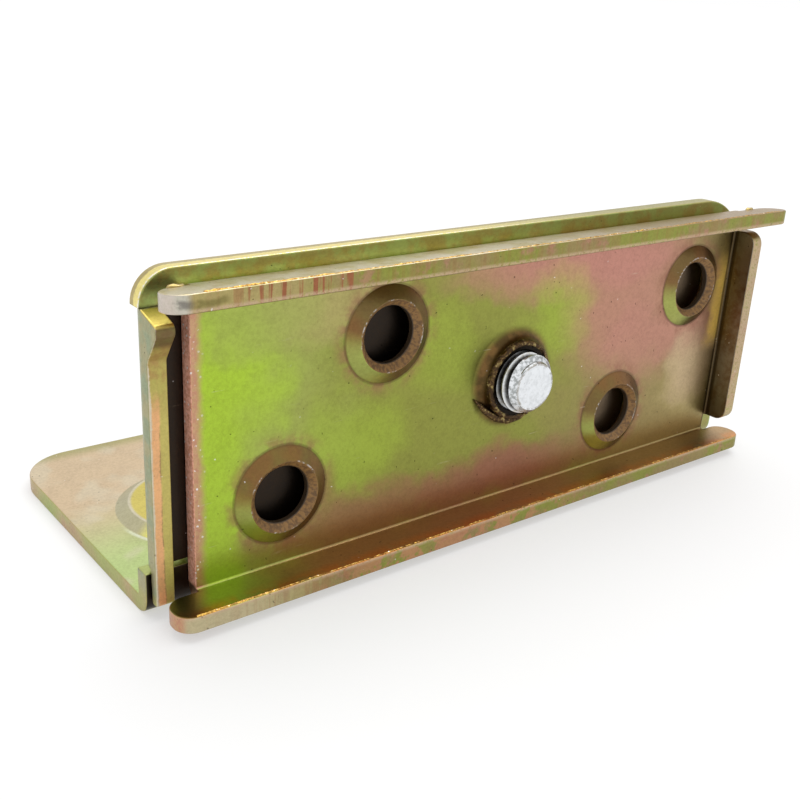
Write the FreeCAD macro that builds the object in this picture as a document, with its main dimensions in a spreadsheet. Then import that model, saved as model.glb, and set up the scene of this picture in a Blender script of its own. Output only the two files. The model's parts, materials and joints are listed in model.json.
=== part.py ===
import FreeCAD, Part
import math
import os
import Sketcher

# Bed rail fastener of pressed sheet steel: a post plate, a rail bracket and the bolt that joins them.
# Each piece is drawn about the bolt, with x along the plate and z = 0 on the surface that it stands on.
# Plate and bracket meet in the plane y = 0, with the post towards -y and the rail towards +y.

SIZES = [
    ("plate_thick", 2.0, "sheet of the post plate"),
    ("plate_lift", 1.2, "post plate over the floor"),
    ("plate_length", 91.5, "sheared edge to outer face of the end flange"),
    ("tray_height", 37.5, "over the front edges of the long flanges"),
    ("flange_depth", 5.1, "long flanges, in front of the plate"),
    ("top_flare", 6.0, "degrees that the top flange opens past square"),
    ("bend_inner", 0.3, "inside radius of every bend"),
    ("tongue_left", 4.3, "long flanges past the sheared edge"),
    ("tongue_top", 3.9, "top flange past the end flange"),
    ("tongue_low", 1.5, "bottom flange past the end flange"),
    ("tongue_round", 2.2, "corners of the flange ends"),
    ("notch_relief", 0.1, "corner notches, past the bends"),
    ("end_flange_depth", 3.65, "end flange, in front of the plate"),
    ("end_notch_low", 2.3, "gap under the end flange"),
    ("end_notch_high", 0.9, "gap over the end flange"),
    ("end_flange_round", 1.9, "corners of the end flange"),
    ("bolt_up", 18.75, "bolt axis over the post plate's foot"),
    ("screw_far", 34.9, "outer screw holes from the bolt, along the plate"),
    ("screw_far_row", 7.8, "outer screw holes from the bolt, up and down"),
    ("screw_near", 20.6, "inner screw holes from the bolt, along the plate"),
    ("screw_near_row", 9.05, "inner screw holes from the bolt, up and down"),
    ("screw_hole_r", 3.5, "screw hole"),
    ("dimple_base_r", 6.0, "dimple where it leaves the plate"),
    ("dimple_crest_r", 4.45, "dimple at its crest"),
    ("dimple_raise", 1.0, "dimple over the plate"),
    ("countersink_r", 5.0, "screw head's seat on the back"),
    ("lip_bevel", 0.85, "slanted wall of the dimple's mouth"),
    ("collar_rim_r", 5.3, "drawn collar over its wall"),
    ("collar_root", 1.5, "fillet where the collar leaves the plate"),
    ("collar_raise", 1.7, "drawn collar over the plate"),
    ("collar_entry", 0.8, "rounded entry behind the collar"),
    ("bolt_r", 4.0, "bolt over its thread"),
    ("thread_clear", 0.05, "bolt in the collar"),
    ("bolt_proud", 2.7, "bolt end past the collar's rim"),
    ("bolt_point_r", 3.1, "flat end of the bolt"),
    ("head_flats", 13.0, "hexagon head across its flats"),
    ("head_height", 5.3, "hexagon head"),
    ("head_bevel", 0.9, "bevel of the head's corners"),
    ("bracket_thick", 2.2, "sheet of the rail bracket"),
    ("bracket_rise", 0.8, "bracket over the tray"),
    ("ledge_depth", 42.7, "ledge, from the plane where the pieces meet"),
    ("ledge_left", 5.0, "ledge past the plate's sheared edge"),
    ("ledge_right", 2.7, "ledge past the end flange"),
    ("ledge_round", 7.0, "far corners of the ledge"),
    ("upright_round", 9.5, "free top corner of the upright"),
    ("bolt_hole_clear", 0.5, "bolt in the bracket"),
    ("hook_gap", 2.3, "hook from the plate's sheared edge"),
    ("hook_reach", 1.5, "hook's edge in front of the meeting plane"),
    ("nose_reach", 3.7, "hook's nose in front of the meeting plane"),
    ("nose_tall", 1.0, "nose from its crown to its underside"),
    ("nose_slope", 3.2, "height over which the nose falls back to the edge"),
    ("nose_round", 0.8, "corners of the nose"),
    ("crown_slope", 1.0, "fall of the hook's top from the bend to the nose"),
    ("hook_round", 3.8, "top corner of the upright over the hook"),
    ("hook_low", 2.0, "hook's lower end over the floor"),
    ("toe_round", 0.45, "corners of the hook's lower end"),
    ("slit_height", 6.2, "hook's root over the floor"),
    ("slit_width", 0.6, "slit between the hook and the ledge"),
    ("slit_past", 2.0, "slit past the start of the hook's bend"),
    ("pad_along", 34.8, "raised pads from the bolt, along the plate"),
    ("pad_deep", 18.0, "raised pads from the meeting plane"),
    ("pad_base_r", 10.9, "pad where it leaves the ledge"),
    ("pad_top_r", 9.3, "pad at its flat top"),
    ("pad_raise", 1.0, "pad over the ledge"),
    ("pad_recess_r", 8.5, "recess under the pad"),
    ("pad_hole_r", 3.5, "screw hole in the pad"),
]

# How far cutting shapes run past the metal they cut.
OVERCUT = 1.0
# How close an edge must lie to the place where it is looked for.
NEAR = 1e-4
# Sides of the bolt's head.
SIDES = 6

doc = FreeCAD.newDocument("bed_rail_fastener")
sheet = doc.addObject("Spreadsheet::Sheet", "Sizes")
for row, (alias, number, meaning) in enumerate(SIZES, start=1):
    sheet.set("A%d" % row, alias)
    sheet.set("B%d" % row, str(number))
    sheet.set("C%d" % row, meaning)
    sheet.setAlias("B%d" % row, alias)
doc.recompute()


class Size:
    """A length that knows its value now and the sheet expression that it follows."""

    def __init__(self, value, text):
        self.value = value
        self.text = text

    def join(self, other, sign, value):
        other_text = other.text if isinstance(other, Size) else repr(float(other))
        return Size(value, "(%s %s %s)" % (self.text, sign, other_text))

    def __add__(self, other):
        return self.join(other, "+", self.value + number_of(other))

    def __sub__(self, other):
        return self.join(other, "-", self.value - number_of(other))

    def __mul__(self, other):
        return self.join(other, "*", self.value * number_of(other))

    def __truediv__(self, other):
        return self.join(other, "/", self.value / number_of(other))

    def __neg__(self):
        return Size(-self.value, "(-1 * %s)" % self.text)


def number_of(size):
    return size.value if isinstance(size, Size) else float(size)


def size(alias):
    return Size(float(sheet.get(alias)), "Sizes." + alias)


def tangent(angle):
    return Size(math.tan(math.radians(angle.value)), "tan(%s * 1 deg)" % angle.text)


def cosine(angle):
    return Size(math.cos(math.radians(angle.value)), "cos(%s * 1 deg)" % angle.text)


ZERO = Size(0.0, "0")


def fail(message):
    raise RuntimeError(message)


def new_body(label):
    body = doc.addObject("PartDesign::Body", label)
    body.Label = label
    return body


def origin_plane(body, role):
    return [feature for feature in body.Origin.OriginFeatures if feature.Role == role][0]


def new_sketch(body, name, role, at=(ZERO, ZERO, ZERO)):
    """A sketch on one of the body's planes, its own origin moved by sizes along its x, y and normal."""
    sketch = body.newObject("Sketcher::SketchObject", name)
    sketch.AttachmentSupport = [(origin_plane(body, role), "")]
    sketch.MapMode = "FlatFace"
    place = [number_of(part) for part in at]
    sketch.AttachmentOffset = FreeCAD.Placement(FreeCAD.Vector(*place), FreeCAD.Rotation())
    for letter, part in zip("xyz", at):
        if part is not ZERO:
            sketch.setExpression("AttachmentOffset.Base." + letter, part.text)
    return sketch


def pin_point(sketch, geometry, position, point):
    """Holds one point of a sketch at the place that two sizes give."""
    for letter, part in zip("XY", point):
        hold = Sketcher.Constraint("Distance" + letter, -1, 1, geometry, position, part.value)
        index = sketch.addConstraint(hold)
        sketch.setExpression("Constraints[%d]" % index, part.text)


def outline(body, name, role, points, at=(ZERO, ZERO, ZERO)):
    """A closed outline of straight lines whose corners follow the sheet."""
    sketch = new_sketch(body, name, role, at)
    corners = [FreeCAD.Vector(u.value, v.value, 0) for u, v in points]
    count = len(corners)
    for index in range(count):
        sketch.addGeometry(Part.LineSegment(corners[index], corners[(index + 1) % count]), False)
    for index in range(count):
        sketch.addConstraint(Sketcher.Constraint("Coincident", index, 2, (index + 1) % count, 1))
    for index in range(count):
        pin_point(sketch, index, 1, points[index])
    return sketch


def ring(body, name, role, radius, at=(ZERO, ZERO, ZERO)):
    """A circle about the sketch's own origin."""
    sketch = new_sketch(body, name, role, at)
    sketch.addGeometry(Part.Circle(FreeCAD.Vector(0, 0, 0), FreeCAD.Vector(0, 0, 1), radius.value), False)
    sketch.addConstraint(Sketcher.Constraint("Coincident", 0, 3, -1, 1))
    index = sketch.addConstraint(Sketcher.Constraint("Radius", 0, radius.value))
    sketch.setExpression("Constraints[%d]" % index, radius.text)
    return sketch


def rounded_corner(body, name, role, corner_u, corner_v, radius):
    """The waste outside a rounded upper left corner: four lines and the arc."""
    sketch = new_sketch(body, name, role)
    left = corner_u - OVERCUT
    top = corner_v + OVERCUT
    start = (corner_u, corner_v - radius)
    end = (corner_u + radius, corner_v)
    points = [start, (left, corner_v - radius), (left, top), (corner_u + radius, top), end]
    corners = [FreeCAD.Vector(u.value, v.value, 0) for u, v in points]
    for index in range(4):
        sketch.addGeometry(Part.LineSegment(corners[index], corners[index + 1]), False)
    middle = FreeCAD.Vector(end[0].value, start[1].value, 0)
    circle = Part.Circle(middle, FreeCAD.Vector(0, 0, 1), radius.value)
    sketch.addGeometry(Part.ArcOfCircle(circle, math.pi / 2, math.pi), False)
    for index in range(3):
        sketch.addConstraint(Sketcher.Constraint("Coincident", index, 2, index + 1, 1))
    sketch.addConstraint(Sketcher.Constraint("Coincident", 3, 2, 4, 1))
    sketch.addConstraint(Sketcher.Constraint("Coincident", 4, 2, 0, 1))
    for index in range(4):
        pin_point(sketch, index, 1, points[index])
    pin_point(sketch, 3, 2, end)
    index = sketch.addConstraint(Sketcher.Constraint("Radius", 4, radius.value))
    sketch.setExpression("Constraints[%d]" % index, radius.text)
    return sketch


def bent_section(body, name, hand, outer, back, front, thick, at):
    """Sheet that runs along u with its rear face at back and turns forward at u = outer; hand is 1 or -1."""
    sketch = new_sketch(body, name, "XY_Plane", at)
    bend = thick + bend_inner
    tangent_u = outer - bend * hand
    tangent_v = back - bend
    root = tangent_u - Size(OVERCUT * hand, repr(OVERCUT * hand))
    inside = outer - thick * hand
    points = [
        (root, back), (tangent_u, back), (outer, tangent_v), (outer, front),
        (inside, front), (inside, tangent_v), (tangent_u, back - thick), (root, back - thick),
    ]
    corners = [FreeCAD.Vector(u.value, v.value, 0) for u, v in points]
    middle = FreeCAD.Vector(tangent_u.value, tangent_v.value, 0)
    ends = [None] * len(points)
    for index, corner in enumerate(corners):
        after = (index + 1) % len(points)
        if index in (1, 5):
            radius = bend if index == 1 else bend_inner
            circle = Part.Circle(middle, FreeCAD.Vector(0, 0, 1), radius.value)
            first = 0.0 if hand > 0 else math.pi / 2
            geometry = sketch.addGeometry(Part.ArcOfCircle(circle, first, first + math.pi / 2), False)
            starts_here = (index == 5) == (hand > 0)
            here, there = (1, 2) if starts_here else (2, 1)
            limit = sketch.addConstraint(Sketcher.Constraint("Radius", geometry, radius.value))
            sketch.setExpression("Constraints[%d]" % limit, radius.text)
        else:
            geometry = sketch.addGeometry(Part.LineSegment(corner, corners[after]), False)
            here, there = 1, 2
        ends[index] = (geometry, here, there)
    for index, (geometry, here, there) in enumerate(ends):
        following = ends[(index + 1) % len(points)]
        sketch.addConstraint(Sketcher.Constraint("Coincident", geometry, there, following[0], following[1]))
        pin_point(sketch, geometry, here, points[index])
    return sketch


def volume_of(body):
    doc.recompute()
    return body.Shape.Volume if body.Tip else 0.0


def pad(body, name, sketch, length):
    before = volume_of(body)
    feature = body.newObject("PartDesign::Pad", name)
    feature.Profile = sketch
    feature.Length = length.value
    feature.setExpression("Length", length.text)
    if volume_of(body) <= before:
        fail(name + " added nothing")


def pocket(body, name, sketch, length, reverse=False):
    before = volume_of(body)
    feature = body.newObject("PartDesign::Pocket", name)
    feature.Profile = sketch
    feature.Length = length.value
    feature.setExpression("Length", length.text)
    feature.Reversed = reverse
    if volume_of(body) >= before:
        fail(name + " cut nothing")


def turned(body, name, kind, sketch):
    """A full turn of a sketch about its own upright axis."""
    before = volume_of(body)
    feature = body.newObject("PartDesign::" + kind, name)
    feature.Profile = sketch
    feature.ReferenceAxis = (sketch, ["V_Axis"])
    feature.Angle = 360
    if abs(volume_of(body) - before) < NEAR:
        fail(name + " changed nothing")
    return feature


def edges_at(body, along, **where):
    """Names of the straight edges along one axis whose middle lies at the given places."""
    found = []
    for index, edge in enumerate(body.Tip.Shape.Edges, start=1):
        if not isinstance(edge.Curve, Part.Line):
            continue
        direction = edge.Curve.Direction
        if abs(abs(getattr(direction, along)) - 1) > NEAR:
            continue
        middle = edge.BoundBox.Center
        if all(abs(getattr(middle, axis) - number_of(place)) < NEAR for axis, place in where.items()):
            found.append("Edge%d" % index)
    return found


def circles_at(body, radius, depth):
    """Names of the round edges of one radius whose middle lies at the given y."""
    found = []
    for index, edge in enumerate(body.Tip.Shape.Edges, start=1):
        if not isinstance(edge.Curve, Part.Circle):
            continue
        off = (edge.Curve.Radius - radius.value, edge.Curve.Center.y - depth.value)
        if max(abs(part) for part in off) < NEAR:
            found.append("Edge%d" % index)
    return found


def round_edges(body, name, radius, names, expected):
    if len(names) != expected:
        fail("%s found %d edges, not %d" % (name, len(names), expected))
    base = body.Tip
    feature = body.newObject("PartDesign::Fillet", name)
    feature.Base = (base, names)
    feature.Radius = radius.value
    feature.setExpression("Radius", radius.text)
    doc.recompute()


plate_thick = size("plate_thick")
bracket_thick = size("bracket_thick")
bend_inner = size("bend_inner")
bolt_r = size("bolt_r")
plate_half = size("plate_length") / 2
plate_foot = size("plate_lift")
plate_top = plate_foot + size("tray_height")
bolt_height = plate_foot + size("bolt_up")
tray_front = plate_thick + size("flange_depth")

# The post plate begins as one bent section: the plate, a square bottom flange and a slightly open top one.

flare = tangent(size("top_flare"))
flange_fall = plate_thick / cosine(size("top_flare"))
back_top = plate_top - tray_front * flare
inside_top = back_top + plate_thick * flare - flange_fall
inside_foot = plate_foot + plate_thick
flange_start = plate_half + size("tongue_left")
top_end = plate_half + size("tongue_top")
low_end = plate_half + size("tongue_low")

post_plate = new_body("post_plate")
section = outline(post_plate, "tray_section", "YZ_Plane", [
    (-tray_front, plate_foot),
    (ZERO, plate_foot),
    (ZERO, back_top),
    (-tray_front, plate_top),
    (-tray_front, plate_top - flange_fall),
    (-plate_thick, inside_top),
    (-plate_thick, inside_foot),
    (-tray_front, inside_foot),
], at=(ZERO, ZERO, -flange_start))
pad(post_plate, "tray", section, flange_start + top_end)
bend_outer = plate_thick + bend_inner
round_edges(post_plate, "long_bends_outside", bend_outer,
            edges_at(post_plate, "x", y=0, z=plate_foot) + edges_at(post_plate, "x", y=0, z=back_top), 2)
round_edges(post_plate, "long_bends_inside", bend_inner,
            edges_at(post_plate, "x", y=-plate_thick, z=inside_foot)
            + edges_at(post_plate, "x", y=-plate_thick, z=inside_top), 2)

# At both ends the plate stops short and the long flanges run on as tongues, the top one further at the right.

web_depth = bend_outer + size("notch_relief")
above = plate_top + OVERCUT
below = plate_foot - OVERCUT
left_waste = outline(post_plate, "left_waste", "XZ_Plane", [
    (-flange_start - OVERCUT, below),
    (-plate_half, below),
    (-plate_half, above),
    (-flange_start - OVERCUT, above),
])
pocket(post_plate, "sheared_edge", left_waste, web_depth, reverse=True)
end_tangent = plate_half - bend_outer
right_waste = outline(post_plate, "right_waste", "XZ_Plane", [
    (end_tangent, below),
    (top_end + OVERCUT, below),
    (top_end + OVERCUT, above),
    (end_tangent, above),
])
pocket(post_plate, "corner_notches", right_waste, web_depth, reverse=True)
low_waste = outline(post_plate, "low_waste", "XZ_Plane", [
    (low_end, below),
    (top_end + OVERCUT, below),
    (top_end + OVERCUT, bolt_height),
    (low_end, bolt_height),
])
pocket(post_plate, "shorter_tongue", low_waste, tray_front, reverse=True)
tongue_corners = []
for end in (-flange_start, low_end, top_end):
    tongue_corners += edges_at(post_plate, "z", x=end, y=-web_depth)
    tongue_corners += edges_at(post_plate, "z", x=end, y=-tray_front)
round_edges(post_plate, "tongue_ends", size("tongue_round"), tongue_corners, 8)

# The end flange closes the right end between its two notches.

end_low = inside_foot + size("end_notch_low")
end_high = inside_top - size("end_notch_high")
end_front = -plate_thick - size("end_flange_depth")
end_section = bent_section(post_plate, "end_section", 1, plate_half, ZERO, end_front, plate_thick,
                           at=(ZERO, ZERO, end_low))
pad(post_plate, "end_flange", end_section, end_high - end_low)
round_edges(post_plate, "end_flange_corners", size("end_flange_round"),
            edges_at(post_plate, "x", y=end_front, z=end_low)
            + edges_at(post_plate, "x", y=end_front, z=end_high), 2)

# The tapped collar is drawn out of the plate round the bolt. Its axis is also the axis of the screw pattern.

collar_front = -plate_thick - size("collar_raise")
mid_sheet = -plate_thick / 2
collar_r = bolt_r + size("thread_clear")
collar_form = outline(post_plate, "collar_form", "XY_Plane", [
    (ZERO, mid_sheet),
    (size("collar_rim_r"), mid_sheet),
    (size("collar_rim_r"), collar_front),
    (ZERO, collar_front),
], at=(ZERO, ZERO, bolt_height))
turned(post_plate, "collar", "Revolution", collar_form)
round_edges(post_plate, "collar_fillet", size("collar_root"),
            circles_at(post_plate, size("collar_rim_r"), -plate_thick), 1)
collar_bore = outline(post_plate, "collar_bore", "XY_Plane", [
    (ZERO, ZERO + OVERCUT),
    (collar_r + size("collar_entry") + OVERCUT, ZERO + OVERCUT),
    (collar_r, -size("collar_entry")),
    (collar_r, collar_front - OVERCUT),
    (ZERO, collar_front - OVERCUT),
], at=(ZERO, ZERO, bolt_height))
turned(post_plate, "bore", "Groove", collar_bore)

# Two screw holes are pressed forward into dimples with a seat behind, and a half turn gives the other two.

crest = -plate_thick - size("dimple_raise")
screw_r = size("screw_hole_r")
lip = size("lip_bevel")
seat_end = screw_r - size("countersink_r")
screw_pattern = []
for label, along, row in (
    ("outer", -size("screw_far"), bolt_height - size("screw_far_row")),
    ("inner", -size("screw_near"), bolt_height + size("screw_near_row")),
):
    place = (along, ZERO, row)
    form = outline(post_plate, label + "_dimple_form", "XY_Plane", [
        (ZERO, mid_sheet),
        (size("dimple_base_r"), mid_sheet),
        (size("dimple_base_r"), -plate_thick),
        (size("dimple_crest_r"), crest),
        (ZERO, crest),
    ], at=place)
    screw_pattern.append(turned(post_plate, label + "_dimple", "Revolution", form))
    seat = outline(post_plate, label + "_seat_form", "XY_Plane", [
        (ZERO, ZERO + OVERCUT),
        (size("countersink_r") + OVERCUT, ZERO + OVERCUT),
        (screw_r, seat_end),
        (screw_r, crest + lip),
        (screw_r + lip, crest),
        (screw_r + lip, crest - OVERCUT),
        (ZERO, crest - OVERCUT),
    ], at=place)
    screw_pattern.append(turned(post_plate, label + "_seat", "Groove", seat))
half_turn = post_plate.newObject("PartDesign::PolarPattern", "half_turn")
half_turn.Originals = screw_pattern
half_turn.Axis = (collar_form, ["V_Axis"])
half_turn.Angle = 360
half_turn.Occurrences = 2
post_plate.Tip = half_turn
doc.recompute()

# The rail bracket is one angle of sheet: an upright behind the post plate and a ledge under the rail.

bracket_height = plate_top + size("bracket_rise")
ledge_start = plate_half + size("ledge_left")
ledge_end = plate_half + size("ledge_right")
ledge_depth = size("ledge_depth")

rail_bracket = new_body("rail_bracket")
angle_section = outline(rail_bracket, "angle_section", "YZ_Plane", [
    (ZERO, ZERO),
    (ledge_depth, ZERO),
    (ledge_depth, bracket_thick),
    (bracket_thick, bracket_thick),
    (bracket_thick, bracket_height),
    (ZERO, bracket_height),
], at=(ZERO, ZERO, -ledge_start))
pad(rail_bracket, "angle", angle_section, ledge_start + ledge_end)
bracket_bend = bracket_thick + bend_inner
round_edges(rail_bracket, "ledge_bend_outside", bracket_bend, edges_at(rail_bracket, "x", y=0, z=0), 1)
round_edges(rail_bracket, "ledge_bend_inside", bend_inner,
            edges_at(rail_bracket, "x", y=bracket_thick, z=bracket_thick), 1)
round_edges(rail_bracket, "ledge_corners", size("ledge_round"),
            edges_at(rail_bracket, "z", x=-ledge_start, y=ledge_depth)
            + edges_at(rail_bracket, "z", x=ledge_end, y=ledge_depth), 2)
round_edges(rail_bracket, "free_corner", size("upright_round"),
            edges_at(rail_bracket, "y", x=ledge_end, z=bracket_height), 1)

# At the left end the upright turns forward into the hook, which a slit frees from the ledge's bend.

hook_inner = plate_half + size("hook_gap")
hook_outer = hook_inner + bracket_thick
hook_tangent = hook_outer - bracket_bend
slit_root = hook_tangent - size("slit_past")
slit_top = size("slit_height")
crown_top = bracket_height - size("hook_round")
upright_waste = outline(rail_bracket, "upright_waste", "XZ_Plane", [
    (-ledge_start - OVERCUT, slit_top - size("slit_width")),
    (-slit_root, slit_top - size("slit_width")),
    (-slit_root, slit_top),
    (-hook_tangent, slit_top),
    (-hook_tangent, crown_top),
    (-hook_outer, crown_top),
    (-hook_outer, bracket_height + OVERCUT),
    (-ledge_start - OVERCUT, bracket_height + OVERCUT),
])
pocket(rail_bracket, "hook_room", upright_waste, bracket_thick)
nose_reach = size("nose_reach")
hook_section = bent_section(rail_bracket, "hook_section", -1, -hook_outer, bracket_thick, -nose_reach,
                            bracket_thick, at=(ZERO, ZERO, slit_top))
pad(rail_bracket, "hook", hook_section, crown_top - slit_top)
hook_reach = size("hook_reach")
toe_back = bend_inner
toe_section = outline(rail_bracket, "toe_section", "XY_Plane", [
    (-hook_inner, -hook_reach),
    (-hook_inner, -toe_back),
    (-hook_outer, -toe_back),
    (-hook_outer, -hook_reach),
], at=(ZERO, ZERO, size("hook_low")))
pad(rail_bracket, "toe", toe_section, slit_top + OVERCUT - size("hook_low"))

# The hook's front edge stands back below its nose, and its crown falls away from the bend to the nose.

nose_top = crown_top - size("crown_slope")
nose_low = nose_top - size("nose_tall")
nose_foot = nose_low - size("nose_slope")
beside_hook = -hook_outer - OVERCUT
through_hook = bracket_thick + OVERCUT * 2
edge_waste = outline(rail_bracket, "edge_waste", "YZ_Plane", [
    (-nose_reach - OVERCUT, slit_top - OVERCUT),
    (-hook_reach, slit_top - OVERCUT),
    (-hook_reach, nose_foot),
    (-nose_reach, nose_low),
    (-nose_reach - OVERCUT, nose_low),
], at=(ZERO, ZERO, beside_hook))
pocket(rail_bracket, "hook_edge", edge_waste, through_hook, reverse=True)
crown_waste = outline(rail_bracket, "crown_waste", "YZ_Plane", [
    (-nose_reach - OVERCUT, nose_top),
    (-nose_reach, nose_top),
    (-bend_inner, crown_top),
    (-bend_inner, crown_top + OVERCUT),
    (-nose_reach - OVERCUT, crown_top + OVERCUT),
], at=(ZERO, ZERO, beside_hook))
pocket(rail_bracket, "hook_crown", crown_waste, through_hook, reverse=True)
round_edges(rail_bracket, "nose_corners", size("nose_round"),
            edges_at(rail_bracket, "x", y=-nose_reach, z=nose_top)
            + edges_at(rail_bracket, "x", y=-nose_reach, z=nose_low)
            + edges_at(rail_bracket, "x", y=-hook_reach, z=nose_foot), 3)
round_edges(rail_bracket, "toe_corners", size("toe_round"),
            edges_at(rail_bracket, "x", y=-hook_reach, z=size("hook_low"))
            + edges_at(rail_bracket, "x", y=-toe_back, z=size("hook_low")), 2)
corner_waste = rounded_corner(rail_bracket, "corner_waste", "XZ_Plane", -hook_outer, bracket_height,
                              size("hook_round"))
pocket(rail_bracket, "corner_over_hook", corner_waste, bracket_thick)

# The bolt passes the upright with room to spare.

bolt_hole = ring(rail_bracket, "bolt_hole_form", "XZ_Plane", bolt_r + size("bolt_hole_clear"),
                 at=(ZERO, bolt_height, ZERO))
pocket(rail_bracket, "bolt_hole", bolt_hole, bracket_thick)

# Two flat-topped round pads are pressed up out of the ledge, each with a screw hole and a recess below.

pad_place = (-size("pad_along"), ZERO, -size("pad_deep"))
pad_top = bracket_thick + size("pad_raise")
pad_form = outline(rail_bracket, "pad_form", "XZ_Plane", [
    (ZERO, bracket_thick / 2),
    (size("pad_base_r"), bracket_thick / 2),
    (size("pad_base_r"), bracket_thick),
    (size("pad_top_r"), pad_top),
    (ZERO, pad_top),
], at=pad_place)
raised_pad = turned(rail_bracket, "raised_pad", "Revolution", pad_form)
recess_form = outline(rail_bracket, "recess_form", "XZ_Plane", [
    (ZERO, ZERO - OVERCUT),
    (size("pad_recess_r") + size("pad_raise"), ZERO - OVERCUT),
    (size("pad_recess_r") + size("pad_raise"), ZERO),
    (size("pad_recess_r"), size("pad_raise")),
    (size("pad_hole_r"), size("pad_raise")),
    (size("pad_hole_r"), pad_top + OVERCUT),
    (ZERO, pad_top + OVERCUT),
], at=pad_place)
pad_recess = turned(rail_bracket, "pad_recess", "Groove", recess_form)
other_pad = rail_bracket.newObject("PartDesign::Mirrored", "other_pad")
other_pad.Originals = [raised_pad, pad_recess]
other_pad.MirrorPlane = (origin_plane(rail_bracket, "YZ_Plane"), [""])
rail_bracket.Tip = other_pad
doc.recompute()

# The bolt is pushed through the bracket from behind and runs forward through the collar.

bolt_end = collar_front - size("bolt_proud")
point_drop = bolt_r - size("bolt_point_r")
head_back = bracket_thick + size("head_height")
bolt = new_body("bolt")
shank_form = outline(bolt, "shank_form", "XY_Plane", [
    (ZERO, bolt_end),
    (size("bolt_point_r"), bolt_end),
    (bolt_r, bolt_end + point_drop),
    (bolt_r, bracket_thick + size("head_height") / 2),
    (ZERO, bracket_thick + size("head_height") / 2),
], at=(ZERO, ZERO, bolt_height))
turned(bolt, "shank", "Revolution", shank_form)
half_flats = size("head_flats") / 2
half_side = 180.0 / SIDES
corner_r = half_flats / cosine(Size(half_side, repr(half_side)))
hexagon = []
for step in range(SIDES):
    turn = 360.0 / SIDES * step
    across = cosine(Size(turn, repr(turn)))
    upward = cosine(Size(90.0 - turn, repr(90.0 - turn)))
    hexagon.append((corner_r * across, corner_r * upward))
head_form = outline(bolt, "head_form", "XZ_Plane", hexagon, at=(ZERO, bolt_height, -head_back))
pad(bolt, "head", head_form, size("head_height"))
corner_out = corner_r - half_flats
bevel_drop = size("head_bevel") * (corner_out + OVERCUT) / corner_out
bevel_form = outline(bolt, "bevel_form", "XY_Plane", [
    (half_flats, head_back),
    (corner_r + OVERCUT, head_back - bevel_drop),
    (corner_r + OVERCUT, head_back + OVERCUT),
    (half_flats, head_back + OVERCUT),
], at=(ZERO, ZERO, bolt_height))
turned(bolt, "head_corners", "Groove", bevel_form)

# All three pieces share one place: the middle of the whole fastener's floor plan is the origin.

move_x = (ledge_start - top_end) / 2
move_y = (tray_front - ledge_depth) / 2
pieces = (post_plate, rail_bracket, bolt)
for piece in pieces:
    piece.Placement = FreeCAD.Placement(FreeCAD.Vector(move_x.value, move_y.value, 0), FreeCAD.Rotation())
    piece.setExpression("Placement.Base.x", move_x.text)
    piece.setExpression("Placement.Base.y", move_y.text)
doc.recompute()

for item in doc.Objects:
    if "Invalid" in item.State or "Error" in item.State:
        fail("%s did not build: %s" % (item.Name, item.State))
os.makedirs("parts", exist_ok=True)
for piece in pieces:
    shape = piece.Shape
    if shape.isNull() or not shape.isValid() or len(shape.Solids) != 1:
        fail("%s is not one sound solid" % piece.Label)
for piece in pieces:
    piece.Shape.exportStep("parts/%s.step" % piece.Label)
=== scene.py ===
import json
import math
import random

import bmesh
import bpy
from bpy.props import FloatProperty, FloatVectorProperty, IntProperty, PointerProperty
from mathutils import Matrix, Vector, noise


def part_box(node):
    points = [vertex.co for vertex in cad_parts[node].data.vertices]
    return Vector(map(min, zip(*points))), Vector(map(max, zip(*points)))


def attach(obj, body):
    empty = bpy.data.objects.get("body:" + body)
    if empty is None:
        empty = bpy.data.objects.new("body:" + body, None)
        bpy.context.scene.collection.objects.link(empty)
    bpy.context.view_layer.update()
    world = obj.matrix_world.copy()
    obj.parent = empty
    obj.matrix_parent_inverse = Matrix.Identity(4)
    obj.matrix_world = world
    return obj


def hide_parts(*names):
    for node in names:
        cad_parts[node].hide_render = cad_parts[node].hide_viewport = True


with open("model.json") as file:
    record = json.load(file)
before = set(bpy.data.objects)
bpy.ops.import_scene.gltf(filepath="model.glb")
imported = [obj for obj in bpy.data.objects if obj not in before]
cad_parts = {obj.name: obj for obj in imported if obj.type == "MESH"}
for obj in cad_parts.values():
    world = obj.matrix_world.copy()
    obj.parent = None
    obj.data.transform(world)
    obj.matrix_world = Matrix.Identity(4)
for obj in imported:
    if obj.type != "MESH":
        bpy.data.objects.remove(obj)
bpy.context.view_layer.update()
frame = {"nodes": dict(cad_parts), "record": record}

bl_info = {
    "name": "Bed rail fastener",
    "version": (1, 0, 0),
    "blender": (4, 5, 0),
    "location": "View3D > Sidebar > Fastener",
    "description": "Dresses a pressed steel bed rail fastener in yellow passivated zinc",
    "category": "Object",
}

MM = 0.001
WHITE = (1.0, 1.0, 1.0)
# Corners closer than this, in metres, are one corner while a shape is made, and in a finished piece.
MERGE = 1e-6
MERGE_FINE = 1e-7
PLATE_LOW, PLATE_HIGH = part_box("post_plate")
BRACKET_LOW, BRACKET_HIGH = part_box("rail_bracket")
BOLT_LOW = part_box("bolt")[0]
JOINTS = {joint["name"]: joint for joint in frame["record"]["behaviour"]["joints"]}
BOLT_AXIS = Vector(JOINTS["bolt_turn"]["pos_m"])
# The plane in which plate and bracket meet, in millimetres.
MEET_Y = BOLT_AXIS.y / MM


def tint(red, green, blue):
    """A display colour from 0 to 255, as the linear colour that shaders take."""
    shares = (red / 255, green / 255, blue / 255)
    return tuple(v / 12.92 if v <= 0.04045 else ((v + 0.055) / 1.055) ** 2.4 for v in shares)


def length(label, description, millimetres):
    return FloatProperty(name=label, description=description, default=millimetres * MM, unit="LENGTH",
                         precision=5)


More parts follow.
